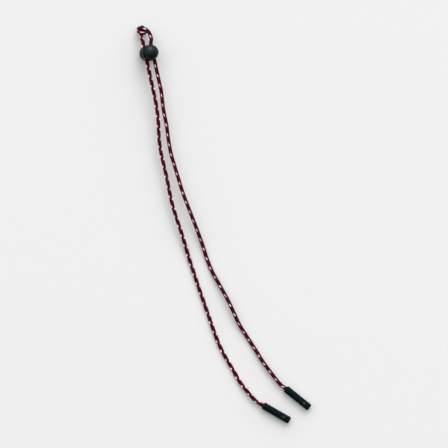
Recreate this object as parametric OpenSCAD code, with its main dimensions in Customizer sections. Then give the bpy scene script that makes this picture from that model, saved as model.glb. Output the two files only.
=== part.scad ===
// Adjustable eyeglass retainer strap, lying on a flat surface.
// Two braided cords run side by side through a twin-hole ball lock. Above the lock their
// free ends are knotted together, and below it each cord ends in a soft sleeve that
// grips a temple arm. Millimetres, +Z up, +Y towards the knot, the origin on the surface
// below the middle of the lock and the sleeves.

/* [Cord] */
// Diameter of the round braided cord
cord_d = 3.0; // [2.6:0.1:3.2]

/* [Lock] */
// Diameter of the ball-shaped lock body
lock_d = 13.6; // [13.4:0.1:14.4]
// Diameter of the domed button
button_d = 12.4; // [11:0.1:13]
// Lean of the lock away from upright, in degrees
lock_tilt = 24; // [15:1:30]
// Distance between the two cord channels
channel_gap = 7.0; // [6.8:0.1:7.4]
// How far the button can be pushed in
press_travel = 2.5; // [2:0.1:2.5]

/* [Sleeves] */
// Outer diameter of a temple sleeve
sleeve_d = 6.0; // [5.4:0.1:6.4]
// Length of a temple sleeve
sleeve_len = 26; // [24:0.5:30]
// Bore that grips the temple arm
socket_d = 2.8; // [2:0.1:3.2]

/* [Hidden] */
$fn = 64;

// Lock body, measured along its own axis from the centre of the ball
channel_z = 3.5;
channel_d = cord_d + 0.4;
rim_z = 6.5;
rim_round = 0.9;
bore_d = 10.0;
bore_floor = -3.2;
seat_d = 6.6;
seat_floor = -4.9;
slit = 0.1;

// Plunger, on the same axis, button out
stem_d = bore_d - 0.16;
web_w = channel_gap - cord_d - 0.4;
foot_z = bore_floor + press_travel + slit;
notch_z = channel_z - cord_d / 2 - 0.05;
collar_z = channel_z + cord_d / 2 + press_travel + 0.15;
cap_z = rim_z + press_travel + slit;
cap_seat_depth = 1.6;
dome_r = 9;
dome_round = 1.6;
dome_h = 3.5;

// Return spring
wire_d = 0.7;
spring_d = 5.3;
spring_turns = 4.5;
spring_steps = 16;
spring_gap = 0.05;
spring_z = seat_floor + wire_d / 2 + spring_gap;
spring_len = foot_z + cap_seat_depth - wire_d - 2 * spring_gap - seat_floor;

// Sleeve, measured along its own axis from the end that the cord enters
sleeve_round = 0.9;
ferrule_d = 4.1;
ferrule_z = 2.1;
ferrule_len = 5.8;
fit = 0.1;
socket_z = 9.5;
flare = 0.4;
pad_z = sleeve_len - 5.9;
pad_len = 3.2;
pad_w = 1.7;
pad_h = 0.3;
tail_in = 7.5;

// Places: the lock's ball centre and the heading of the cords through it, and each
// sleeve's cord end with its heading below +X
lock_pos = [-66.2, 153.5, lock_d / 2];
cord_heading = 12.3;
left_mouth = [32, -145.5, sleeve_d / 2];
left_turn = 30;
right_mouth = [51.2, -131.2, sleeve_d / 2];
right_turn = 39;

// Each cord flexes at a point this far outside its sleeve
flex_gap = 6;
flex_clear = 0.05;

// Directions in the lying plane and along the lock's own axes
cord_dir = [sin(cord_heading), -cos(cord_heading), 0];
lock_axis = [sin(lock_tilt) * cos(cord_heading), sin(lock_tilt) * sin(cord_heading),
             cos(lock_tilt)];
lock_side = [cos(lock_tilt) * cos(cord_heading), cos(lock_tilt) * sin(cord_heading),
             -sin(lock_tilt)];
left_dir = [cos(left_turn), -sin(left_turn), 0];
right_dir = [cos(right_turn), -sin(right_turn), 0];
left_flex = left_mouth - flex_gap * left_dir;
right_flex = right_mouth - flex_gap * right_dir;

// A point on a cord's straight stretch, t millimetres below the middle of the lock
function in_channel(side, t) =
    lock_pos + channel_z * lock_axis + side * channel_gap / 2 * lock_side + t * cord_dir;

// Cord routes from the flex point up to the cut end, one ring of the tube at each point
left_route = concat(
    [left_flex,
     [20.4, -135.8, 2.7], [12.9, -126.3, 2], [6.2, -114.8, 1.5], [-0.6, -103.3, 1.5],
     [-6.1, -91.8, 1.5], [-10.6, -79.8, 1.5], [-14.8, -67.8, 1.5], [-18.8, -56.3, 1.5],
     [-22.8, -44.8, 1.5], [-26.6, -33.3, 1.5], [-30.4, -21.8, 1.9], [-34, -9.8, 3.2],
     [-37.6, 2.2, 4.8], [-41.4, 13.2, 5.8], [-44.9, 24.7, 6.5], [-47.5, 36.2, 7],
     [-49.8, 48.2, 7.4], [-52.6, 60.2, 7.8], [-55.2, 72.2, 8.3], [-56.4, 84.2, 8.9],
     [-57, 96.2, 9.7], [-58.3, 107.7, 10.8]],
    [for (t = [34, 23, 12, 0, -7.5]) in_channel(-1, t)],
    [[-69.9, 163.4, 10.7], [-70.7, 165.4, 9.2], [-71.2, 167.3, 7.2], [-71.3, 169.1, 5.3],
     [-71.1, 171.1, 4.3], [-70.9, 173.2, 4.2], [-70.7, 175.2, 4.2], [-70.5, 176.7, 4.4]]
);
right_route = concat(
    [right_flex,
     [40, -119.3, 3.2], [32.5, -109.3, 2.8], [25.9, -98.8, 2], [18.8, -87.8, 1.5],
     [11.9, -76.8, 2.8], [6.8, -65.8, 4.2], [1.5, -54.8, 4.2], [-4.6, -43.8, 3.2],
     [-10.7, -32.8, 1.9], [-15.3, -21.8, 1.5], [-19, -10.3, 2.6], [-23.1, 1.2, 4.6],
     [-27.3, 12.2, 6.2], [-31.6, 23.2, 7], [-35.8, 34.2, 7.3], [-39.4, 45.7, 7.4],
     [-42.9, 57.2, 7.5], [-46.2, 68.7, 7.6], [-48.3, 80.2, 7.8], [-49.9, 92.2, 8],
     [-52.2, 103.7, 8.3], [-53.4, 112.2, 8.5]],
    [for (t = [34, 23, 12, 0, -7.5]) in_channel(1, t)],
    [[-62.8, 165, 8.4], [-63.6, 168.4, 8], [-65, 171.4, 7.6], [-67.7, 173.8, 7.2],
     [-70.8, 174.8, 7], [-72.8, 174.8, 6.2], [-73.7, 174.4, 4.3], [-72.8, 173.7, 2.4],
     [-71, 172.9, 1.5], [-69.1, 172, 2.4], [-68.2, 171.3, 4.3], [-69.1, 170.9, 6.2],
     [-71, 171.1, 7], [-72.7, 171.7, 7.1], [-74, 172.5, 6.9]]
);

// ---- Swept tubes ----

function unit(v) = v / norm(v);

// Direction of a path at each of its points
function tangents(path) = let (last = len(path) - 1)
    [for (i = [0:last]) unit(path[min(i + 1, last)] - path[max(i - 1, 0)])];

// Carries one normal along the path without twisting it
function carried(dirs, i, n) = i == len(dirs) ? [] :
    let (m = unit(n - (n * dirs[i]) * dirs[i])) concat([m], carried(dirs, i + 1, m));

// A closed tube along a path, with one radius for each of its points
module tube(path, radii, sides, start_normal) {
    dirs = tangents(path);
    normals = carried(dirs, 0, start_normal);
    last = len(path) - 1;
    rings = [for (i = [0:last]) for (k = [0:sides - 1])
        let (a = 360 * k / sides, side = cross(dirs[i], normals[i]))
        path[i] + radii[i] * (cos(a) * normals[i] + sin(a) * side)];
    walls = [for (i = [0:last - 1]) for (k = [0:sides - 1])
        let (a = i * sides + k, b = i * sides + (k + 1) % sides)
        [a, a + sides, b + sides, b]];
    start_cap = [for (k = [0:sides - 1]) k];
    end_cap = [for (k = [sides - 1:-1:0]) last * sides + k];
    polyhedron(points = rings, faces = concat([start_cap], walls, [end_cap]));
}

// A free cord: a round nose at the flex point, then the route
module cord(route, sleeve_dir) {
    nose = [75, 50, 25];
    path = concat([for (a = nose) route[0] + cord_d / 2 * sin(a) * sleeve_dir], route);
    radii = concat([for (a = nose) cord_d / 2 * cos(a)], [for (p = route) cord_d / 2]);
    tube(path, radii, 8, [0, 0, 1]);
}

// ---- Lock ----

module in_lock() {
    translate(lock_pos) rotate([0, 0, cord_heading]) rotate([0, lock_tilt, 0]) children();
}

// Half section of the body: round below, a short barrel above, a rounded rim
module body_profile() {
    r = lock_d / 2;
    intersection() {
        circle(r = r);
        translate([0, -r]) square([r, r]);
    }
    square([r, rim_z - rim_round]);
    square([r - rim_round, rim_z]);
    translate([r - rim_round, rim_z - rim_round]) circle(r = rim_round);
}

// Half section of the button: a shallow dome that rolls over at its edge
module dome_profile() {
    r = button_d / 2;
    round_x = r - dome_round;
    centre = dome_h - dome_r;
    round_z = centre + sqrt(pow(dome_r - dome_round, 2) - pow(round_x, 2));
    join_x = round_x * dome_r / (dome_r - dome_round);
    intersection() {
        translate([0, centre]) circle(r = dome_r, $fn = 128);
        square([join_x, dome_h]);
    }
    intersection() {
        translate([round_x, round_z]) circle(r = dome_round);
        square([r, dome_h]);
    }
    square([round_x, round_z]);
}

module lock_body() color("darkslategray") in_lock() difference() {
    rotate_extrude() body_profile();
    translate([0, 0, bore_floor]) cylinder(d = bore_d, h = lock_d);
    translate([0, 0, seat_floor]) cylinder(d = seat_d, h = lock_d);
    for (side = [-1, 1])
        translate([side * channel_gap / 2, 0, channel_z])
            rotate([90, 0, 0]) cylinder(d = channel_d, h = 2 * lock_d, center = true);
}

// The foot lies under both cords, and the web between them carries the button
module lock_plunger() color("slategray") in_lock() difference() {
    union() {
        translate([0, 0, foot_z]) cylinder(d = stem_d, h = cap_z - foot_z);
        translate([0, 0, cap_z]) rotate_extrude() dome_profile();
    }
    for (side = [-1, 1])
        translate([side * (web_w + lock_d) / 2, 0, (notch_z + collar_z) / 2])
            cube([lock_d, 2 * lock_d, collar_z - notch_z], center = true);
    translate([0, 0, foot_z - 1]) cylinder(d = seat_d, h = cap_seat_depth + 1);
}

module lock_spring() color("silver") in_lock() {
    steps = spring_turns * spring_steps;
    path = [for (i = [0:steps]) let (a = 360 * i / spring_steps)
        [spring_d / 2 * cos(a), spring_d / 2 * sin(a), spring_z + spring_len * i / steps]];
    tube(path, [for (p = path) wire_d / 2], 6, [0, 0, 1]);
}

// ---- Cords ----

module left_cord() color("#4b1b23") cord(left_route, left_dir);

module right_cord() color("#4b1b23") cord(right_route, right_dir);

// ---- Sleeves ----

module in_sleeve(mouth, turn) {
    translate(mouth) rotate([0, 0, -turn]) rotate([0, 90, 0]) children();
}

// The stretch of cord from the flex point into the ferrule
module cord_end(mouth, turn) color("#4b1b23") in_sleeve(mouth, turn) {
    start = cord_d / 2 + flex_clear - flex_gap;
    translate([0, 0, start]) cylinder(d = cord_d, h = tail_in - start);
}

module ferrule(mouth, turn) color("goldenrod") in_sleeve(mouth, turn)
    translate([0, 0, ferrule_z]) difference() {
        cylinder(d = ferrule_d, h = ferrule_len);
        translate([0, 0, -1]) cylinder(d = cord_d + fit, h = ferrule_len + 2);
    }

// Half section of the sleeve's outside, rounded at both ends
module sleeve_profile() {
    r = sleeve_d / 2;
    translate([0, sleeve_round]) square([r, sleeve_len - 2 * sleeve_round]);
    square([r - sleeve_round, sleeve_len]);
    for (z = [sleeve_round, sleeve_len - sleeve_round])
        translate([r - sleeve_round, z]) circle(r = sleeve_round);
}

// Oval pad, raised on the upper side
module pad() {
    run = pad_len - pad_w;
    translate([-sleeve_d / 2 - pad_h, 0, pad_z]) {
        translate([0, -pad_w / 2, -run / 2]) cube([2 * pad_h, pad_w, run]);
        for (z = [-run / 2, run / 2])
            translate([0, 0, z]) rotate([0, 90, 0]) cylinder(d = pad_w, h = 2 * pad_h);
    }
}

module sleeve(mouth, turn) color("#2b3036") in_sleeve(mouth, turn) difference() {
    union() {
        rotate_extrude() sleeve_profile();
        pad();
    }
    translate([0, 0, -1]) cylinder(d = cord_d + 2 * fit, h = ferrule_z + 1);
    translate([0, 0, ferrule_z - fit]) cylinder(d = ferrule_d + fit, h = ferrule_len + 2 * fit);
    translate([0, 0, socket_z]) cylinder(d = socket_d, h = sleeve_len);
    translate([0, 0, sleeve_len - flare])
        cylinder(d1 = socket_d, d2 = socket_d + 4 * flare, h = 2 * flare);
}

module left_cord_end() cord_end(left_mouth, left_turn);

module right_cord_end() cord_end(right_mouth, right_turn);

module left_ferrule() ferrule(left_mouth, left_turn);

module right_ferrule() ferrule(right_mouth, right_turn);

module left_sleeve() sleeve(left_mouth, left_turn);

module right_sleeve() sleeve(right_mouth, right_turn);

lock_body();
lock_plunger();
lock_spring();
left_cord();
right_cord();
left_cord_end();
right_cord_end();
left_ferrule();
right_ferrule();
left_sleeve();
right_sleeve();
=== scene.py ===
"""Eyeglass retainer strap: braided cords, ball lock, knot and temple sleeves."""
import itertools
import math
import random

import bmesh
import bpy
import numpy as np
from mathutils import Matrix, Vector
from mathutils import noise as mu_noise


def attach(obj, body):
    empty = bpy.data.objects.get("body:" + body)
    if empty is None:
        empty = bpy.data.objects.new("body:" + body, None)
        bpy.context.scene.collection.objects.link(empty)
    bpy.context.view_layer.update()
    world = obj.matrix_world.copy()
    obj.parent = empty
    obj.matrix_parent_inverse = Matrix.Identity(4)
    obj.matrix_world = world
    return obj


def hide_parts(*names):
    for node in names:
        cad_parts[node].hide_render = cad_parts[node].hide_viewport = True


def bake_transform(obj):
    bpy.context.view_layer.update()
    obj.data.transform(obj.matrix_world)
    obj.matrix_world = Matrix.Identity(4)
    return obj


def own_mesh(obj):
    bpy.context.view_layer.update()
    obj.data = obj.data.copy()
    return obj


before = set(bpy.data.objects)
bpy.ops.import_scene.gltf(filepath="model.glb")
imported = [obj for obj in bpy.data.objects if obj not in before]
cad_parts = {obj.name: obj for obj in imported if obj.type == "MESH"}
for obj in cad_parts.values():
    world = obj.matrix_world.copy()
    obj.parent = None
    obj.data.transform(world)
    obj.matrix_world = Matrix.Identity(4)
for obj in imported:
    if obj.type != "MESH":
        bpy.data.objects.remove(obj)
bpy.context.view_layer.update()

MM = 0.001
UP = np.array([0.0, 0.0, 1.0])

# ---- Dimensions that part.scad also has, in millimetres and degrees ----

CORD_D = 3.0
LOCK_D = 13.6
BUTTON_D = 12.4
LOCK_TILT = 24.0
CHANNEL_GAP = 7.0
PRESS_TRAVEL = 2.5
SLEEVE_D = 6.0
SLEEVE_LEN = 26.0
SOCKET_D = 2.8

CHANNEL_Z = 3.5
CHANNEL_D = CORD_D + 0.4
RIM_Z = 6.5
BORE_D = 10.0
BORE_FLOOR = -3.2
SEAT_D = 6.6
SEAT_FLOOR = -4.9
FOOT_Z = BORE_FLOOR + PRESS_TRAVEL + 0.1
NOTCH_Z = CHANNEL_Z - CORD_D / 2 - 0.05
COLLAR_Z = CHANNEL_Z + CORD_D / 2 + PRESS_TRAVEL + 0.15
CAP_Z = RIM_Z + PRESS_TRAVEL + 0.1
WEB_W = CHANNEL_GAP - CORD_D - 0.4
CAP_SEAT_DEPTH = 1.6
CAP_SEAT_Z = FOOT_Z + CAP_SEAT_DEPTH

LOCK_POS = (-66.2, 153.5, LOCK_D / 2)
CORD_HEADING = 12.3
LEFT_MOUTH = (32.0, -145.5, SLEEVE_D / 2)
LEFT_TURN = 30.0
RIGHT_MOUTH = (51.2, -131.2, SLEEVE_D / 2)
RIGHT_TURN = 39.0
FLEX_GAP = 6.0


def vec(*v):
    return np.array(v, float)


def heading(degrees):
    """Unit vector in the lying plane, turned below +X."""
    a = math.radians(degrees)
    return vec(math.cos(a), -math.sin(a), 0)


LEFT_DIR = heading(LEFT_TURN)
RIGHT_DIR = heading(RIGHT_TURN)
_TILT = math.radians(LOCK_TILT)
_HEAD = math.radians(CORD_HEADING)
CORD_DIR = vec(math.sin(_HEAD), -math.cos(_HEAD), 0)
ACROSS = vec(math.cos(_HEAD), math.sin(_HEAD), 0)
LOCK_AXIS = math.sin(_TILT) * ACROSS + math.cos(_TILT) * UP
LOCK_SIDE = math.cos(_TILT) * ACROSS - math.sin(_TILT) * UP


def in_channel(side, t):
    """A point on a cord's straight stretch, t millimetres from the lock's middle towards
    the sleeves."""
    middle = vec(*LOCK_POS) + CHANNEL_Z * LOCK_AXIS + side * CHANNEL_GAP / 2 * LOCK_SIDE
    return middle + t * CORD_DIR


# ---- Cord routes, the same points as in part.scad ----

STRAIGHT = (34, 23, 12, 0, -7.5)
LEFT_LOW = [
    (20.4, -135.8, 2.7), (12.9, -126.3, 2), (6.2, -114.8, 1.5), (-0.6, -103.3, 1.5),
    (-6.1, -91.8, 1.5), (-10.6, -79.8, 1.5), (-14.8, -67.8, 1.5), (-18.8, -56.3, 1.5),
    (-22.8, -44.8, 1.5), (-26.6, -33.3, 1.5), (-30.4, -21.8, 1.9), (-34, -9.8, 3.2),
    (-37.6, 2.2, 4.8), (-41.4, 13.2, 5.8), (-44.9, 24.7, 6.5), (-47.5, 36.2, 7),
    (-49.8, 48.2, 7.4), (-52.6, 60.2, 7.8), (-55.2, 72.2, 8.3), (-56.4, 84.2, 8.9),
    (-57, 96.2, 9.7), (-58.3, 107.7, 10.8),
]
LEFT_HIGH = [
    (-69.9, 163.4, 10.7), (-70.7, 165.4, 9.2), (-71.2, 167.3, 7.2), (-71.3, 169.1, 5.3),
    (-71.1, 171.1, 4.3), (-70.9, 173.2, 4.2), (-70.7, 175.2, 4.2), (-70.5, 176.7, 4.4),
]
RIGHT_LOW = [
    (40, -119.3, 3.2), (32.5, -109.3, 2.8), (25.9, -98.8, 2), (18.8, -87.8, 1.5),
    (11.9, -76.8, 2.8), (6.8, -65.8, 4.2), (1.5, -54.8, 4.2), (-4.6, -43.8, 3.2),
    (-10.7, -32.8, 1.9), (-15.3, -21.8, 1.5), (-19, -10.3, 2.6), (-23.1, 1.2, 4.6),
    (-27.3, 12.2, 6.2), (-31.6, 23.2, 7), (-35.8, 34.2, 7.3), (-39.4, 45.7, 7.4),
    (-42.9, 57.2, 7.5), (-46.2, 68.7, 7.6), (-48.3, 80.2, 7.8), (-49.9, 92.2, 8),
    (-52.2, 103.7, 8.3), (-53.4, 112.2, 8.5),
]
RIGHT_HIGH = [
    (-62.8, 165, 8.4), (-63.6, 168.4, 8), (-65, 171.4, 7.6), (-67.7, 173.8, 7.2),
    (-70.8, 174.8, 7), (-72.8, 174.8, 6.2), (-73.7, 174.4, 4.3), (-72.8, 173.7, 2.4),
    (-71, 172.9, 1.5), (-69.1, 172, 2.4), (-68.2, 171.3, 4.3), (-69.1, 170.9, 6.2),
    (-71, 171.1, 7), (-72.7, 171.7, 7.1), (-74, 172.5, 6.9),
]
TAIL_IN = 7.5


def route(mouth, sleeve_dir, low, side, high):
    """The cord's whole route, from inside its sleeve to its cut end."""
    mouth = vec(*mouth)
    start = [mouth + TAIL_IN * sleeve_dir, mouth, mouth - FLEX_GAP * sleeve_dir]
    middle = [in_channel(side, t) for t in STRAIGHT]
    return np.array(start + [vec(*p) for p in low] + middle + [vec(*p) for p in high])


# ---- Camera ----

FRAME_WIDTH = 380.8
LENS = 600.0
SENSOR = 36.0
CAMERA_X, CAMERA_Y = -1.15, 8.6


def make_camera():
    data = bpy.data.cameras.new("camera")
    data.lens = LENS
    data.sensor_width = SENSOR
    data.clip_end = 50
    cam = bpy.data.objects.new("camera", data)
    bpy.context.scene.collection.objects.link(cam)
    cam.location = Vector((CAMERA_X, CAMERA_Y, FRAME_WIDTH * LENS / SENSOR)) * MM
    bpy.context.scene.camera = cam


make_camera()

# ---- Helpers ----

CURVE_PER_MM = 4.0


def add_object(name, mesh, *materials):
    obj = bpy.data.objects.new(name, mesh)
    bpy.context.scene.collection.objects.link(obj)
    for m in materials:
        mesh.materials.append(m)
    return obj


def make_mesh(name, verts, faces):
    mesh = bpy.data.meshes.new(name)
    mesh.from_pydata(np.asarray(verts).tolist(), [], faces)
    mesh.update()
    mesh.shade_smooth()
    return mesh


def add_attribute(mesh, name, kind, field, values):
    layer = mesh.attributes.new(name, kind, "POINT")
    layer.data.foreach_set(field, np.asarray(values, np.float32).ravel())


def unit(v):
    return v / np.linalg.norm(v, axis=-1, keepdims=True)


def running_sum(steps):
    """Where each point lies along a line, from the steps between them."""
    return np.concatenate([[0], np.cumsum(steps)])


def curve_through(points):
    """Centripetal Catmull-Rom curve through the points, sampled finely."""
    p = np.vstack([2 * points[0] - points[1], points, 2 * points[-1] - points[-2]])
    knots = running_sum(np.sqrt(np.linalg.norm(np.diff(p, axis=0), axis=1)))
    out = []
    for i in range(1, len(p) - 2):
        t0, t1, t2, t3 = knots[i - 1 : i + 3]
        p0, p1, p2, p3 = p[i - 1 : i + 3]
        steps = max(4, int(np.linalg.norm(p2 - p1) * CURVE_PER_MM))
        t = np.linspace(t1, t2, steps, endpoint=False)[:, None]
        a1 = (t1 - t) / (t1 - t0) * p0 + (t - t0) / (t1 - t0) * p1
        a2 = (t2 - t) / (t2 - t1) * p1 + (t - t1) / (t2 - t1) * p2
        a3 = (t3 - t) / (t3 - t2) * p2 + (t - t2) / (t3 - t2) * p3
        b1 = (t2 - t) / (t2 - t0) * a1 + (t - t0) / (t2 - t0) * a2
        b2 = (t3 - t) / (t3 - t1) * a2 + (t - t1) / (t3 - t1) * a3
        out.append((t2 - t) / (t2 - t1) * b1 + (t - t1) / (t2 - t1) * b2)
    out.append(points[-1:])
    return np.vstack(out)


def resample(points, step):
    """The same curve with its points a fixed distance apart."""
    s = running_sum(np.linalg.norm(np.diff(points, axis=0), axis=1))
    n = int(round(s[-1] / step)) + 1
    at = np.linspace(0, s[-1], n)
    return np.stack([np.interp(at, s, points[:, k]) for k in range(3)], axis=1), at


def carried_frames(points, normal=UP):
    """Tangent, normal and side at each point, with the normal carried without twist."""
    tangent = unit(np.gradient(points, axis=0))
    normals = np.empty_like(points)
    n = normal
    for i, t in enumerate(tangent):
        n = n - (n @ t) * t
        n = n / np.linalg.norm(n)
        normals[i] = n
    return tangent, normals, np.cross(tangent, normals)


def tube_faces(rings, sides, first=0):
    """Quads between rings of vertices, and a face over each end."""
    faces = []
    for i in range(rings - 1):
        a = first + i * sides
        for k in range(sides):
            j = (k + 1) % sides
            faces.append((a + k, a + j, a + j + sides, a + k + sides))
    faces.append(tuple(first + k for k in reversed(range(sides))))
    last = first + (rings - 1) * sides
    faces.append(tuple(last + k for k in range(sides)))
    return faces


def circle(sides):
    """Angles of a ring's corners."""
    return 2 * np.pi * np.arange(sides) / sides


def rings_round(middle, radius, sides, across, beside):
    """A ring of corners round each point of a line, in the plane of two directions there."""
    corner = circle(sides)[None, :, None]
    return middle[:, None] + radius * (
        np.cos(corner) * across[:, None] + np.sin(corner) * beside[:, None]
    )


# ---- Braided cord ----

CARRIERS = 4  # in each direction
YARNS = 2  # side by side on each carrier
YARN_W = 1.1
YARN_H = 0.56
WEAVE = 0.1
FULL = 0.12  # how far the loose braid stands out beyond its pulled-tight size
YARN_R = CORD_D / 2 + FULL - WEAVE - YARN_H / 2
YARN_SIDES = 8
RING_STEP = 0.55
TRACER_W = 0.45  # where it runs thin, as a part of a yarn's width
FLECK_SOFT = 0.45
FLOAT_FLAT = 1.35  # how long a yarn stays at its highest or lowest, 1 for a plain wave
FIRST_OVER = 0.5  # in beats, which are eighths of the pitch
KNOT_WHITE = 0.7  # how far a tracer swells where the weave opens
TIGHT_BEND = 5.0  # radius below which the weave opens
CORE_R = 0.95
CORE_SIDES = 12
CORE_EVERY = 3  # rings of yarn to one of the core
YARN_SEED = 7.3
FRAY = 0.12
FRAY_LEN = 1.5


class Pattern:
    """How a cord's white tracers show. Distances are in millimetres and angles in degrees.

    turn: which way round the braid they go, 1 or -1, once in a pitch.
    first, facing: the first float's place along the cord, and the angle round from the
        cord's top that the floats face.
    width, offset, length: a tracer swells into a fleck on each side of the float's middle,
        or into one if the offset is zero. The width is a part of a yarn's, and the offset
        and the length are in eighths of the pitch.
    twist: how far the whole braid turns, the middle of that stretch and its length.
    pushed: stretches where the flecks are moved along: by how much, round which place and
        over what length.
    straight: how much less a tracer turns while it floats.
    fray: how far the cut end spreads, as a part of the cord's size."""

    def __init__(
        self, turn, pitch, facing, first, width, offset, length,
        twist, pushed=(), straight=0.0, fray=0.0,
    ):
        self.turn = turn
        self.pitch = pitch
        self.beat = pitch / (2 * CARRIERS)
        self.facing = facing
        self.first = first
        self.width = width
        self.offset = offset
        self.length = length
        self.twist = twist
        self.pushed = pushed
        self.straight = straight
        self.fray = fray

    def weave(self, s):
        """Distance along an even braid that matches each distance s along this cord."""
        bumps = [
            by * np.exp(-(((s - middle) / length) ** 2)) for by, middle, length in self.pushed
        ]
        return s + sum(bumps) + (1 - self.turn / 4) * self.beat - self.first

    def angle(self, s):
        """How far round the first carrier starts, in degrees."""
        by, middle, length = self.twist
        t = np.clip((s - middle) / length + 0.5, 0, 1)
        float_angle = 360 / (2 * CARRIERS) * self.turn - 3 / 8 * 360 / CARRIERS
        return self.facing + by * t * t * (3 - 2 * t) - float_angle


def window(x, half, soft):
    """One inside half, falling smoothly to zero over soft beyond it."""
    x = np.clip((half + soft - np.abs(x)) / soft, 0, 1)
    return x * x * (3 - 2 * x)


def yarn_path(frames, s, total, pattern, turn, carrier, yarn, straight):
    """Middle line, outward and sideways directions of one yarn, how high it lies, and how
    many beats it is from the middle of a float. Straight is how many degrees less it turns
    round the cord on each side of that middle, and it catches up below."""
    centre, tangent, normal, side = frames
    at = pattern.weave(s)
    offset = (yarn - (YARNS - 1) / 2) * 360 / CARRIERS / YARNS
    start = pattern.angle(s) + 360 / CARRIERS * carrier + offset
    turned = start + turn * 360 * at / pattern.pitch
    beat = at / pattern.beat + turn * offset * CARRIERS / 360
    float_at = (beat - 1 + turn / 2 + 2) % 4 - 2
    turned -= turn * straight * np.sin(np.pi / 2 * float_at)
    slower = np.radians(straight) * np.pi / 2 / pattern.beat * np.cos(np.pi / 2 * float_at)
    slope = turn * YARN_R * (2 * np.pi / pattern.pitch - slower)
    wave = np.cos(np.pi / 2 * (2 * carrier + turn * beat - FIRST_OVER))
    over = turn * np.clip(FLOAT_FLAT * wave, -1, 1)
    angle = np.radians(turned)[:, None]
    out = np.cos(angle) * normal + np.sin(angle) * side
    along = -np.sin(angle) * normal + np.cos(angle) * side
    run = unit(tangent + slope[:, None] * along)
    frayed = 1 + pattern.fray * np.clip((s - total + FRAY_LEN) / FRAY_LEN, 0, 1) ** 2
    middle = centre + ((YARN_R + WEAVE * over) * frayed)[:, None] * out
    return middle, out, np.cross(out, run), over, float_at


def bend_radius(points, step):
    """Radius of the curve at each of its points, which are a step apart."""
    turn = np.linalg.norm(np.gradient(unit(np.gradient(points, axis=0)), axis=0), axis=1)
    return step / np.maximum(turn, 1e-6)


def braid(name, points, pattern, materials):
    """Sixteen flattened yarns, two by two over two, round a core. Two opposite carriers
    of one direction each have one white tracer yarn."""
    centre, s = resample(curve_through(points), RING_STEP)
    frames = (centre, *carried_frames(centre))
    total = s[-1]
    open_weave = np.clip(TIGHT_BEND / bend_radius(centre, RING_STEP) - 1, 0, 1)
    corner = circle(YARN_SIDES)
    verts, faces, slots, along, lift, bloom = [], [], [], [], [], []
    for turn, carrier, yarn in itertools.product((1, -1), range(CARRIERS), range(YARNS)):
        tracer = turn == pattern.turn and carrier % 2 == 0 and yarn == 0
        straight = pattern.straight if tracer else 0.0
        middle, out, wide, over, float_at = yarn_path(
            frames, s, total, pattern, turn, carrier, yarn, straight
        )
        white = window(np.abs(float_at) - pattern.offset, pattern.length / 2, FLECK_SOFT)
        white = np.maximum(white, KNOT_WHITE * open_weave)
        width = TRACER_W + (pattern.width - TRACER_W) * white if tracer else np.ones_like(s)
        ring = (
            middle[:, None]
            + (YARN_W / 2 * width)[:, None, None] * np.cos(corner)[None, :, None] * wide[:, None]
            + YARN_H / 2 * np.sin(corner)[None, :, None] * out[:, None]
        )
        new = tube_faces(len(s), YARN_SIDES, len(verts) * len(s) * YARN_SIDES)
        faces += new
        slots += [1 if tracer else 0] * len(new)
        across = np.tile(np.cos(corner) * YARN_W / 2, len(s))
        seed = np.full_like(across, YARN_SEED * len(verts))
        along.append(np.stack([np.repeat(s, YARN_SIDES), across, seed], axis=1))
        verts.append(ring.reshape(-1, 3))
        lift.append(np.repeat(over * 0.5 + 0.5, YARN_SIDES))
        bloom.append(np.repeat(white, YARN_SIDES))
    count = len(verts) * len(s) * YARN_SIDES
    core_at = np.arange(0, len(s), CORE_EVERY)
    axes = (frames[2][core_at], frames[3][core_at])
    rings = rings_round(centre[core_at], CORE_R, CORE_SIDES, *axes)
    new = tube_faces(len(core_at), CORE_SIDES, count)
    faces += new
    slots += [2] * len(new)
    verts.append(rings.reshape(-1, 3))
    along.append(np.repeat(centre[core_at], CORE_SIDES, axis=0))
    pale = np.repeat(np.clip(1 - (total - s[core_at]) / FRAY_LEN, 0, 1), CORE_SIDES)
    lift.append(pale)
    bloom.append(pale)
    mesh = make_mesh(name, np.vstack(verts) * MM, faces)
    mesh.polygons.foreach_set("material_index", np.array(slots, np.int32))
    add_attribute(mesh, "yarn", "FLOAT_VECTOR", "vector", np.vstack(along))
    add_attribute(mesh, "lift", "FLOAT", "value", np.concatenate(lift))
    add_attribute(mesh, "bloom", "FLOAT", "value", np.concatenate(bloom))
    return add_object(name, mesh, *materials), centre, total


# ---- Materials ----


def node_material(name):
    """A new material with its node tree, its Principled shader and a short add function."""
    mat = bpy.data.materials.new(name)
    mat.use_nodes = True
    tree = mat.node_tree
    shader = tree.nodes["Principled BSDF"]

    def add(kind, **inputs):
        n = tree.nodes.new(kind)
        for key, value in inputs.items():
            n.inputs[key.replace("_", " ")].default_value = value
        return n

    return mat, tree, shader, add


def attribute(tree, name, output="Fac"):
    n = tree.nodes.new("ShaderNodeAttribute")
    n.attribute_name = name
    return n.outputs[output]


def noise(tree, vector, scale, detail=3.0, roughness=0.55):
    n = tree.nodes.new("ShaderNodeTexNoise")
    n.inputs["Scale"].default_value = scale
    n.inputs["Detail"].default_value = detail
    n.inputs["Roughness"].default_value = roughness
    tree.links.new(vector, n.inputs["Vector"])
    return n.outputs["Fac"]


def ramp(tree, source, stops):
    r = tree.nodes.new("ShaderNodeValToRGB")
    tree.links.new(source, r.inputs["Fac"])
    e = r.color_ramp.elements
    while len(e) < len(stops):
        e.new(0.5)
    for el, (pos, col) in zip(e, stops):
        el.position = pos
        el.color = (*col, 1)
    return r.outputs["Color"]


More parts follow.
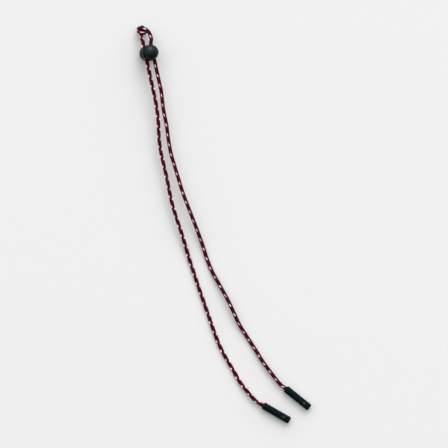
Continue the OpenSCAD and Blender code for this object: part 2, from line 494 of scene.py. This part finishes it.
def spread(tree, source, low, high, source_low=0.0, source_high=1.0):
    """The source's range mapped to low..high."""
    n = tree.nodes.new("ShaderNodeMapRange")
    n.inputs["From Min"].default_value = source_low
    n.inputs["From Max"].default_value = source_high
    n.inputs["To Min"].default_value = low
    n.inputs["To Max"].default_value = high
    tree.links.new(source, n.inputs["Value"])
    return n.outputs["Result"]


def mix(tree, a, b, factor, blend="MIX"):
    n = tree.nodes.new("ShaderNodeMix")
    n.data_type = "RGBA"
    n.blend_type = blend
    for socket, value in (("A", a), ("B", b), ("Factor", factor)):
        if isinstance(value, bpy.types.NodeSocket):
            tree.links.new(value, n.inputs[socket])
        else:
            n.inputs[socket].default_value = value if socket == "Factor" else (*value, 1)
    return n.outputs["Result"]


def bump(tree, shader, height, strength, distance):
    n = tree.nodes.new("ShaderNodeBump")
    n.inputs["Strength"].default_value = strength
    n.inputs["Distance"].default_value = distance
    tree.links.new(height, n.inputs["Height"])
    tree.links.new(n.outputs["Normal"], shader.inputs["Normal"])


def object_place(tree):
    return tree.nodes.new("ShaderNodeTexCoord").outputs["Object"]


def yarn_material(name, dark, mid, light, bloomed=None):
    """Fine filaments that run along each yarn, with painted shade where the yarn dips under.
    A tracer goes to its bloomed colour where it swells."""
    mat, tree, shader, add = node_material(name)
    stretch = add("ShaderNodeMapping", Scale=(0.55, 9.0, 1.0))
    tree.links.new(attribute(tree, "yarn", "Vector"), stretch.inputs["Vector"])
    fibre = noise(tree, stretch.outputs["Vector"], 1.6, 4.0, 0.6)
    patch = noise(tree, attribute(tree, "yarn", "Vector"), 0.33, 2.0)
    colour = ramp(tree, fibre, [(0.3, dark), (0.5, mid), (0.72, light)])
    if bloomed:
        colour = mix(tree, colour, bloomed, attribute(tree, "bloom"))
    # painted shade: the colour is darkened where the yarn dips under its neighbours
    dip_shade = spread(tree, attribute(tree, "lift"), 0.3, 1.0, 0.0, 0.8)
    colour = mix(tree, colour, dip_shade, 0.85, "MULTIPLY")
    vary = add("ShaderNodeHueSaturation")
    tree.links.new(spread(tree, patch, 0.55, 1.6, 0.3, 0.7), vary.inputs["Value"])
    tree.links.new(spread(tree, patch, 0.515, 0.485, 0.3, 0.7), vary.inputs["Hue"])
    tree.links.new(colour, vary.inputs["Color"])
    tree.links.new(vary.outputs["Color"], shader.inputs["Base Color"])
    tree.links.new(spread(tree, fibre, 0.55, 0.8), shader.inputs["Roughness"])
    bump(tree, shader, fibre, 0.5, 0.00006)
    shader.inputs["Specular IOR Level"].default_value = 0.06
    return mat


def core_material():
    """The filler inside the braid: dyed in its length, undyed and pale at a cut."""
    mat, tree, shader, _ = node_material("braid_core")
    fibre = noise(tree, attribute(tree, "yarn", "Vector"), 3.0, 4.0)
    dyed = ramp(tree, fibre, [(0.3, (0.008, 0.0004, 0.001)), (0.7, (0.03, 0.001, 0.004))])
    cut = ramp(tree, fibre, [(0.3, (0.35, 0.16, 0.15)), (0.7, (0.75, 0.55, 0.52))])
    colour = mix(tree, dyed, cut, attribute(tree, "lift"))
    tree.links.new(colour, shader.inputs["Base Color"])
    tree.links.new(spread(tree, fibre, 0.7, 0.95), shader.inputs["Roughness"])
    bump(tree, shader, fibre, 0.4, 0.00008)
    shader.inputs["Specular IOR Level"].default_value = 0.1
    return mat


def fibre_material():
    """Loose undyed filaments with a little dye left on them."""
    mat, tree, shader, _ = node_material("cut_fibres")
    place = object_place(tree)
    patch = noise(tree, place, 900.0, 3.0)
    colour = ramp(
        tree, patch,
        [(0.3, (0.2, 0.03, 0.035)), (0.5, (0.5, 0.22, 0.22)), (0.7, (0.85, 0.66, 0.64))],
    )
    tree.links.new(colour, shader.inputs["Base Color"])
    tree.links.new(spread(tree, patch, 0.5, 0.85), shader.inputs["Roughness"])
    bump(tree, shader, noise(tree, place, 9000.0, 2.0), 0.3, 0.00004)
    shader.inputs["Specular IOR Level"].default_value = 0.3
    return mat


def melted_material():
    """Braid fused by heat: charred grey-brown with dull maroon showing through."""
    mat, tree, shader, _ = node_material("melted_tip")
    place = object_place(tree)
    patch = noise(tree, place, 700.0, 4.0)
    colour = ramp(
        tree, patch,
        [(0.3, (0.012, 0.009, 0.01)), (0.5, (0.045, 0.03, 0.03)), (0.72, (0.11, 0.03, 0.035))],
    )
    tree.links.new(colour, shader.inputs["Base Color"])
    tree.links.new(spread(tree, patch, 0.3, 0.6), shader.inputs["Roughness"])
    bump(tree, shader, noise(tree, place, 2600.0, 4.0), 0.5, 0.0001)
    shader.inputs["Specular IOR Level"].default_value = 0.35
    return mat


def moulded_material(name, body, worn, grain, rough, gloss):
    """Spark-textured moulded plastic or rubber: cloudy colour, fine grain and rubbed edges."""
    mat, tree, shader, add = node_material(name)
    place = object_place(tree)
    cloud = noise(tree, place, 260.0, 4.0)
    fine = noise(tree, place, grain, 4.0, 0.7)
    dark = tuple(0.72 * c for c in body)
    light = tuple(1.35 * c for c in body)
    colour = ramp(tree, cloud, [(0.3, dark), (0.5, body), (0.72, light)])
    speck = spread(tree, fine, 0.85, 1.15, 0.3, 0.7)
    colour = mix(tree, colour, speck, 1.0, "MULTIPLY")
    point = tree.nodes.new("ShaderNodeNewGeometry").outputs["Pointiness"]
    edge = spread(tree, point, 0.0, 1.0, 0.51, 0.58)
    rub = add("ShaderNodeMath")
    rub.operation = "MULTIPLY"
    tree.links.new(edge, rub.inputs[0])
    tree.links.new(spread(tree, noise(tree, place, 900.0), 0.0, 0.9, 0.35, 0.65), rub.inputs[1])
    colour = mix(tree, colour, worn, rub.outputs["Value"])
    tree.links.new(colour, shader.inputs["Base Color"])
    smudge = noise(tree, place, 420.0, 3.0)
    rough_at = spread(tree, smudge, rough - 0.08, rough + 0.1, 0.3, 0.7)
    tree.links.new(rough_at, shader.inputs["Roughness"])
    bump(tree, shader, fine, 0.35, 0.00003)
    shader.inputs["Specular IOR Level"].default_value = gloss
    shader.inputs["Specular Tint"].default_value = (0.75, 1, 1, 1)
    return mat


def metal_material(name, body, streak, rough):
    """Drawn metal: fine streaks and a little tarnish."""
    mat, tree, shader, add = node_material(name)
    place = object_place(tree)
    stretch = add("ShaderNodeMapping", Scale=(1.0, 1.0, 0.15))
    tree.links.new(place, stretch.inputs["Vector"])
    streaks = noise(tree, stretch.outputs["Vector"], 5000.0, 4.0)
    tarnish = noise(tree, place, 500.0, 4.0)
    colour = mix(tree, body, streak, spread(tree, tarnish, 0.0, 1.0, 0.4, 0.75))
    tree.links.new(colour, shader.inputs["Base Color"])
    tree.links.new(spread(tree, streaks, rough, rough + 0.2), shader.inputs["Roughness"])
    bump(tree, shader, streaks, 0.25, 0.00002)
    shader.inputs["Metallic"].default_value = 1.0
    return mat


maroon = yarn_material(
    "braid_maroon", (0.016, 0.0003, 0.002), (0.055, 0.001, 0.006), (0.13, 0.003, 0.012)
)
tracer = yarn_material(
    "braid_tracer", (0.09, 0.01, 0.02), (0.2, 0.04, 0.06), (0.34, 0.11, 0.13), (0.9, 0.67, 0.69)
)
core = core_material()
shell_plastic = moulded_material(
    "lock_satin_plastic", body=(0.003, 0.009, 0.011), worn=(0.02, 0.03, 0.033),
    grain=4200.0, rough=0.48, gloss=0.13,
)
button_plastic = moulded_material(
    "button_satin_plastic", body=(0.0005, 0.003, 0.0045), worn=(0.015, 0.025, 0.028),
    grain=4200.0, rough=0.22, gloss=0.29,
)
rubber = {"body": (0.0015, 0.007, 0.01), "worn": (0.01, 0.016, 0.019), "grain": 6500.0}
silicone = moulded_material("sleeve_matte_silicone", rough=0.6, gloss=0.06, **rubber)
pad_silicone = moulded_material("sleeve_polished_pad", rough=0.26, gloss=0.6, **rubber)
steel = metal_material("spring_steel", (0.6, 0.61, 0.63), (0.34, 0.33, 0.33), 0.25)
brass = metal_material("ferrule_brass", (0.72, 0.5, 0.22), (0.38, 0.22, 0.1), 0.3)

# ---- Cords ----

LEFT_PATTERN = Pattern(
    turn=1, pitch=17.32, facing=-76.0, first=4.54, width=1.8, offset=0.78, length=0.8,
    twist=(-12.0, 170.0, 240.0),
)
RIGHT_PATTERN = Pattern(
    turn=-1, pitch=17.0, facing=-14.0, first=2.14, width=0.84, offset=0.0, length=0.66,
    twist=(100.0, 348.0, 20.0), pushed=((2.6, 78.0, 38.0), (-3.5, 366.0, 13.0)),
    straight=20.0, fray=FRAY,
)
braid_look = (maroon, tracer, core)
left_route = route(LEFT_MOUTH, LEFT_DIR, LEFT_LOW, -1, LEFT_HIGH)
right_route = route(RIGHT_MOUTH, RIGHT_DIR, RIGHT_LOW, 1, RIGHT_HIGH)
left_braid, left_line, left_total = braid("left_braid", left_route, LEFT_PATTERN, braid_look)
right_braid, right_line, right_total = braid(
    "right_braid", right_route, RIGHT_PATTERN, braid_look
)

MELT_R = 1.52
MELT_LEN = 1.1
MELT_BACK = 0.5
MELT_RIDGE = 0.05
MELT_TWIST = 2.0
MELT_LUMPS = ((0.1, 1.7), (0.04, 5.0))  # height as a part of the radius, and frequency
FIBRES = 70
FIBRE_SEED = 11
FIBRE_ROOT = 0.9
FIBRE_SPREAD = 1.1
FIBRE_LEN = (1.1, 2.1)
FIBRE_BEND = (0.1, 0.55)
FIBRE_SWAY = (-0.2, 0.2)
FIBRE_TAPER = 0.45
FIBRE_R = 0.07
FIBRE_SIDES = 5
FIBRE_RINGS = 6


def end_axes(line):
    """End point of a cord, and its direction with two directions across it."""
    tangent, normal, side = carried_frames(line)
    return line[-1], tangent[-1], normal[-1], side[-1]


def melted_bead(line):
    """The braid's end sealed by a flame: a lumpy cap with the yarns' ridges left in it."""
    end, ahead, normal, side = end_axes(line)
    bm = bmesh.new()
    bmesh.ops.create_icosphere(bm, subdivisions=5, radius=1.0)
    verts = []
    for v in bm.verts:
        x, y, z = v.co
        wave = math.cos(2 * CARRIERS * math.atan2(y, x) + MELT_TWIST * z)
        ridge = 1 + MELT_RIDGE * wave * (1 - max(z, 0))
        lump = 1 + sum(h * mu_noise.noise(v.co * often) for h, often in MELT_LUMPS)
        r = MELT_R * ridge * lump
        forward = MELT_LEN * lump * z - MELT_BACK
        verts.append(end + r * (x * normal + y * side) + forward * ahead)
    faces = [[v.index for v in f.verts] for f in bm.faces]
    bm.free()
    mesh = make_mesh("left_melted_tip", np.array(verts) * MM, faces)
    return add_object("left_melted_tip", mesh, melted_material())


def fibre_tuft(line):
    """Loose filaments that stand out of the cut end of the braid's core."""
    end, ahead, normal, side = end_axes(line)
    rng = random.Random(FIBRE_SEED)
    verts, faces = [], []
    for i in range(FIBRES):
        around = rng.uniform(0, 2 * math.pi)
        out = math.cos(around) * normal + math.sin(around) * side
        root = end - FIBRE_ROOT * ahead + FIBRE_SPREAD * math.sqrt(rng.random()) * out
        bend = rng.uniform(*FIBRE_BEND) * out + rng.uniform(*FIBRE_SWAY) * np.cross(ahead, out)
        length = rng.uniform(*FIBRE_LEN)
        at = np.linspace(0, 1, FIBRE_RINGS)[:, None]
        middle = root + length * at * ahead + length * at**2 * bend
        _, n, b = carried_frames(middle, normal)
        r = FIBRE_R * (1 - FIBRE_TAPER * at[:, :, None])
        faces += tube_faces(FIBRE_RINGS, FIBRE_SIDES, i * FIBRE_RINGS * FIBRE_SIDES)
        verts.append(rings_round(middle, r, FIBRE_SIDES, n, b).reshape(-1, 3))
    mesh = make_mesh("right_frayed_tip", np.vstack(verts) * MM, faces)
    return add_object("right_frayed_tip", mesh, fibre_material())


def declare_cord(obj, mouth, nodes, tip):
    """Hangs the cut end on the cords' body, hides the cord's parts and bakes the braid's place.
    """
    mouth = vec(*mouth)
    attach(tip, "cords")
    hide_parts(*nodes)
    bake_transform(obj)


declare_cord(
    left_braid, LEFT_MOUTH,
    ("left_cord", "left_cord_end"), melted_bead(left_line),
)
declare_cord(
    right_braid, RIGHT_MOUTH,
    ("right_cord", "right_cord_end"), fibre_tuft(right_line),
)

# ---- Turned and cut solids ----

TURN_STEPS = 128
VOXEL = 0.14


def arc(centre, radius, start, end, steps):
    """Profile points round an arc, angles in degrees from the outward direction."""
    a = np.radians(np.linspace(start, end, steps))
    return [(centre[0] + radius * math.cos(t), centre[1] + radius * math.sin(t)) for t in a]


def turned(profile, steps=TURN_STEPS):
    """Closed surface from a profile of (radius, height) that starts and ends on the axis."""
    verts = [(0, 0, profile[0][1])]
    for r, z in profile[1:-1]:
        verts += [(r * math.cos(t), r * math.sin(t), z) for t in circle(steps)]
    verts.append((0, 0, profile[-1][1]))
    faces = []
    for k in range(steps):
        j = (k + 1) % steps
        faces.append((0, 1 + j, 1 + k))
        for i in range(len(profile) - 3):
            row = 1 + i * steps
            faces.append((row + k, row + j, row + steps + j, row + steps + k))
        row = 1 + (len(profile) - 3) * steps
        faces.append((len(verts) - 1, row + k, row + j))
    return np.array(verts, float), faces


def solid(name, verts, faces):
    mesh = make_mesh(name, verts, faces)
    bm = bmesh.new()
    bm.from_mesh(mesh)
    bmesh.ops.recalc_face_normals(bm, faces=bm.faces)
    bm.to_mesh(mesh)
    bm.free()
    return add_object(name, mesh)


def cut(obj, *tools):
    """The object with the tools taken out of it, as one even mesh with softened edges."""
    for tool in tools:
        step = obj.modifiers.new("cut", "BOOLEAN")
        step.operation = "DIFFERENCE"
        step.solver = "EXACT"
        step.object = tool
    even = obj.modifiers.new("even", "REMESH")
    even.mode = "VOXEL"
    even.voxel_size = VOXEL
    soft = obj.modifiers.new("soft", "SMOOTH")
    soft.factor = 0.5
    soft.iterations = 5
    depsgraph = bpy.context.evaluated_depsgraph_get()
    mesh = bpy.data.meshes.new_from_object(obj.evaluated_get(depsgraph))
    verts = np.empty(len(mesh.vertices) * 3)
    mesh.vertices.foreach_get("co", verts)
    faces = [tuple(p.vertices) for p in mesh.polygons]
    for used in (obj, *tools):
        bpy.data.objects.remove(used)
    return verts.reshape(-1, 3), faces


def placed(name, verts, faces, origin, x, y, z, material, body, slot, *nodes):
    """A finished piece at its place in the frame, for a shape made on its own axes."""
    world = vec(*origin) + verts[:, :1] * x + verts[:, 1:2] * y + verts[:, 2:] * z
    obj = add_object(name, make_mesh(name, world * MM, faces), material)
    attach(obj, body)
    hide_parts(*nodes)
    return obj


# ---- Lock ----

LOCK_R = LOCK_D / 2
LOCK_AXES = (LOCK_SIDE, -CORD_DIR, LOCK_AXIS)
RIM_ROUND = 0.9
BORE_CHAMFER = 0.3
PARTING = 0.05
PARTING_H = 0.25
BARREL_Z = 2.5
CHANNEL_FLARE = 0.45
FLARE_DEPTH = 2.1
FLARE_LEN = 1.6
DOME_R = 9.0
DOME_H = 3.5
DOME_ROUND = 1.6
STEM_R = BORE_D / 2 - 0.14
STEM_FILLET = 0.25
WIRE_D = 0.7
SPRING_D = 5.3
SPRING_TURNS = 4.5
SPRING_STEPS = 48
SPRING_CLEAR = 0.05
WIRE_SIDES = 16


def channel_tool(side):
    """A cord channel with flared mouths."""
    reach = LOCK_R + 1
    flare_at = LOCK_R - FLARE_DEPTH
    profile = [(0, -reach)]
    for y in np.linspace(-reach, reach, 41):
        open_by = min(max((abs(y) - flare_at) / FLARE_LEN, 0), 1) ** 2
        profile.append((CHANNEL_D / 2 + CHANNEL_FLARE * open_by, y))
    profile.append((0, reach))
    verts, faces = turned(profile, 64)
    x, z, y = verts.T
    verts = np.stack([x + side * CHANNEL_GAP / 2, y, CHANNEL_Z - z], 1)
    return solid("channel_tool", verts, faces)


def lock_shell():
    """Ball below, barrel and rounded rim above, bored for the plunger and its spring."""
    corner = (LOCK_R - RIM_ROUND, RIM_Z - RIM_ROUND)
    bore = BORE_D / 2
    profile = [(0, -LOCK_R)]
    profile += arc((0, 0), LOCK_R, -88, -3, 40)
    profile += [(LOCK_R + PARTING, 0), (LOCK_R, PARTING_H), (LOCK_R, BARREL_Z)]
    profile += arc(corner, RIM_ROUND, 0, 90, 10)
    profile += [(bore + BORE_CHAMFER, RIM_Z), (bore, RIM_Z - BORE_CHAMFER), (bore, BORE_FLOOR)]
    profile += [(SEAT_D / 2, BORE_FLOOR), (SEAT_D / 2, SEAT_FLOOR), (0, SEAT_FLOOR)]
    verts, faces = turned(profile)
    return cut(solid("shell_blank", verts, faces), channel_tool(-1), channel_tool(1))


def notch_tool(side):
    """The room beside the web, where a cord passes through the plunger."""
    x0, x1 = side * WEB_W / 2, side * (WEB_W / 2 + LOCK_D)
    corners = list(itertools.product((x0, x1), (-LOCK_D, LOCK_D), (NOTCH_Z, COLLAR_Z)))
    faces = [(0, 1, 3, 2), (4, 6, 7, 5), (0, 4, 5, 1), (2, 3, 7, 6), (0, 2, 6, 4), (1, 5, 7, 3)]
    return solid("notch_tool", corners, faces)


def lock_button():
    """Domed button, its collar, the web between the cords and the foot below them."""
    r = BUTTON_D / 2
    round_x = r - DOME_ROUND
    centre = DOME_H - DOME_R
    round_z = centre + math.sqrt((DOME_R - DOME_ROUND) ** 2 - round_x**2)
    join = math.degrees(math.acos(round_x / (DOME_R - DOME_ROUND)))
    under = math.degrees(math.asin(round_z / DOME_ROUND))
    dome = arc((0, CAP_Z + centre), DOME_R, 89.5, join, 30)
    edge = arc((round_x, CAP_Z + round_z), DOME_ROUND, join, -under, 16)[1:]
    profile = [(0, CAP_Z + DOME_H)] + dome + edge
    profile += [(STEM_R + STEM_FILLET, CAP_Z), (STEM_R, CAP_Z - STEM_FILLET), (STEM_R, FOOT_Z)]
    profile += [(SEAT_D / 2, FOOT_Z), (SEAT_D / 2, CAP_SEAT_Z), (0, CAP_SEAT_Z)]
    verts, faces = turned(profile)
    return cut(solid("button_blank", verts, faces), notch_tool(-1), notch_tool(1))


def lock_coil():
    """The return spring, from the seat in the body to the seat under the plunger."""
    low = SEAT_FLOOR + WIRE_D / 2 + SPRING_CLEAR
    high = CAP_SEAT_Z - WIRE_D / 2 - SPRING_CLEAR
    t = np.linspace(0, 1, int(SPRING_TURNS * SPRING_STEPS) + 1)
    a = 2 * np.pi * SPRING_TURNS * t
    r = SPRING_D / 2
    path = np.stack([r * np.cos(a), r * np.sin(a), low + (high - low) * t], 1)
    _, normal, side = carried_frames(path)
    rings = rings_round(path, WIRE_D / 2, WIRE_SIDES, normal, side)
    return rings.reshape(-1, 3), tube_faces(len(path), WIRE_SIDES)


placed(
    "lock_shell", *lock_shell(), LOCK_POS, *LOCK_AXES, shell_plastic,
    "lock", "lock_shell", "lock_body",
)
placed(
    "lock_button", *lock_button(), LOCK_POS, *LOCK_AXES, button_plastic,
    "plunger", "lock_button", "lock_plunger",
)
coil = placed(
    "return_spring", *lock_coil(), LOCK_POS, *LOCK_AXES, steel,
    "lock", "spring_wire", "lock_spring",
)
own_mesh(coil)

# ---- Sleeves ----

SLEEVE_ROUND = 0.9
MOUTH_R = CORD_D / 2 + 0.1
MOUTH_CHAMFER = 0.15
FERRULE_R = 2.1
FERRULE_FROM, FERRULE_TO = 2.0, 8.0
SOCKET_Z = 9.5
SOCKET_FLARE = 0.4
PAD_Z = SLEEVE_LEN - 5.9
PAD_LEN = 3.2
PAD_W = 1.7
PAD_H = 0.3
PAD_EDGE = 0.3
SEAM_H = 0.05
SEAM_W = 0.16
SKIN = 0.01  # what lies this near the outer radius is outside
WALL_STEP = 0.12
SLEEVE_STEPS = 176


def sleeve_shape():
    """Turned sleeve with both of its bores, a moulding seam down each side and an oval
    pad on top. The top is the -X side."""
    r = SLEEVE_D / 2
    inner = r - SLEEVE_ROUND
    wall = np.arange(SLEEVE_ROUND, SLEEVE_LEN - SLEEVE_ROUND, WALL_STEP)[1:]
    profile = [(0, FERRULE_TO), (FERRULE_R, FERRULE_TO), (FERRULE_R, FERRULE_FROM)]
    profile += [(MOUTH_R, FERRULE_FROM), (MOUTH_R, MOUTH_CHAMFER), (MOUTH_R + MOUTH_CHAMFER, 0)]
    profile += arc((inner, SLEEVE_ROUND), SLEEVE_ROUND, -90, 0, 12)
    profile += [(r, z) for z in wall]
    profile += arc((inner, SLEEVE_LEN - SLEEVE_ROUND), SLEEVE_ROUND, 0, 90, 12)
    socket = SOCKET_D / 2
    profile += [(socket + 2 * SOCKET_FLARE, SLEEVE_LEN)]
    profile += [(socket, SLEEVE_LEN - SOCKET_FLARE), (socket, SOCKET_Z), (0, SOCKET_Z)]
    verts, faces = turned(profile, SLEEVE_STEPS)
    x, y, z = verts.T
    outside = np.hypot(x, y) > r - SKIN
    run = (PAD_LEN - PAD_W) / 2
    from_pad = np.hypot(np.maximum(np.abs(z - PAD_Z) - run, 0), y)
    pad = np.where(outside & (x < 0), window(from_pad, PAD_W / 2 - PAD_EDGE, PAD_EDGE), 0)
    seam = np.where(outside, np.exp(-((x / SEAM_W) ** 2)), 0)
    grow = 1 + (PAD_H * pad + SEAM_H * seam) / r
    return np.stack([x * grow, y * grow, z], 1), faces, pad


def sleeve(name, mouth, along, body, node):
    verts, faces, pad = sleeve_shape()
    across = np.cross(along, -UP)
    obj = placed(
        name, verts, faces, mouth, -UP, across, along, silicone, body, "sleeve_silicone", node
    )
    obj.data.materials.append(pad_silicone)
    polished = [int(pad[list(f)].mean() > 0.5) for f in faces]
    obj.data.polygons.foreach_set("material_index", polished)


sleeve("left_grip", LEFT_MOUTH, LEFT_DIR, "left_end", "left_sleeve")
sleeve("right_grip", RIGHT_MOUTH, RIGHT_DIR, "right_end", "right_sleeve")

for node in ("left_ferrule", "right_ferrule"):
    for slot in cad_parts[node].material_slots:
        slot.material = brass

# ---- Floor and light ----

TENT_BRIGHT = (0.0, 0.87, 0.49)
TENT_LOW = 0.22
TENT_HIGH = 1.72
KEY_POS = (2.2, 7.4, 6.2)
KEY_SIZE = 6.0
KEY_POWER = 332.0


def make_floor():
    half = 4.0
    mesh = make_mesh(
        "floor", [(-half, -half, 0), (half, -half, 0), (half, half, 0), (-half, half, 0)],
        [(0, 1, 2, 3)],
    )
    mat, _, shader, _ = node_material("floor_paper")
    shader.inputs["Base Color"].default_value = (0.86, 0.86, 0.86, 1)
    shader.inputs["Roughness"].default_value = 0.9
    shader.inputs["Specular IOR Level"].default_value = 0.0
    add_object("floor", mesh, mat)


def area_light(name, location, size, power):
    data = bpy.data.lights.new(name, "AREA")
    data.shape = "DISK"
    data.size = size
    data.energy = power
    lamp = bpy.data.objects.new(name, data)
    bpy.context.scene.collection.objects.link(lamp)
    lamp.location = location
    lamp.rotation_mode = "QUATERNION"
    lamp.rotation_quaternion = (-Vector(location)).to_track_quat("-Z", "Y")


def make_light():
    """A white tent that is brightest beyond the lock, and one soft key above there."""
    world = bpy.data.worlds.new("studio")
    bpy.context.scene.world = world
    world.use_nodes = True
    tree = world.node_tree
    background = tree.nodes["Background"]
    facing = tree.nodes.new("ShaderNodeVectorMath")
    facing.operation = "DOT_PRODUCT"
    tree.links.new(tree.nodes.new("ShaderNodeTexCoord").outputs["Generated"], facing.inputs[0])
    facing.inputs[1].default_value = TENT_BRIGHT
    level = spread(tree, facing.outputs["Value"], TENT_LOW, TENT_HIGH)
    tree.links.new(level, background.inputs["Strength"])
    background.inputs["Color"].default_value = (1, 1, 1, 1)
    area_light("key", KEY_POS, KEY_SIZE, KEY_POWER)
    bpy.context.scene.view_settings.view_transform = "Standard"


make_floor()
make_light()
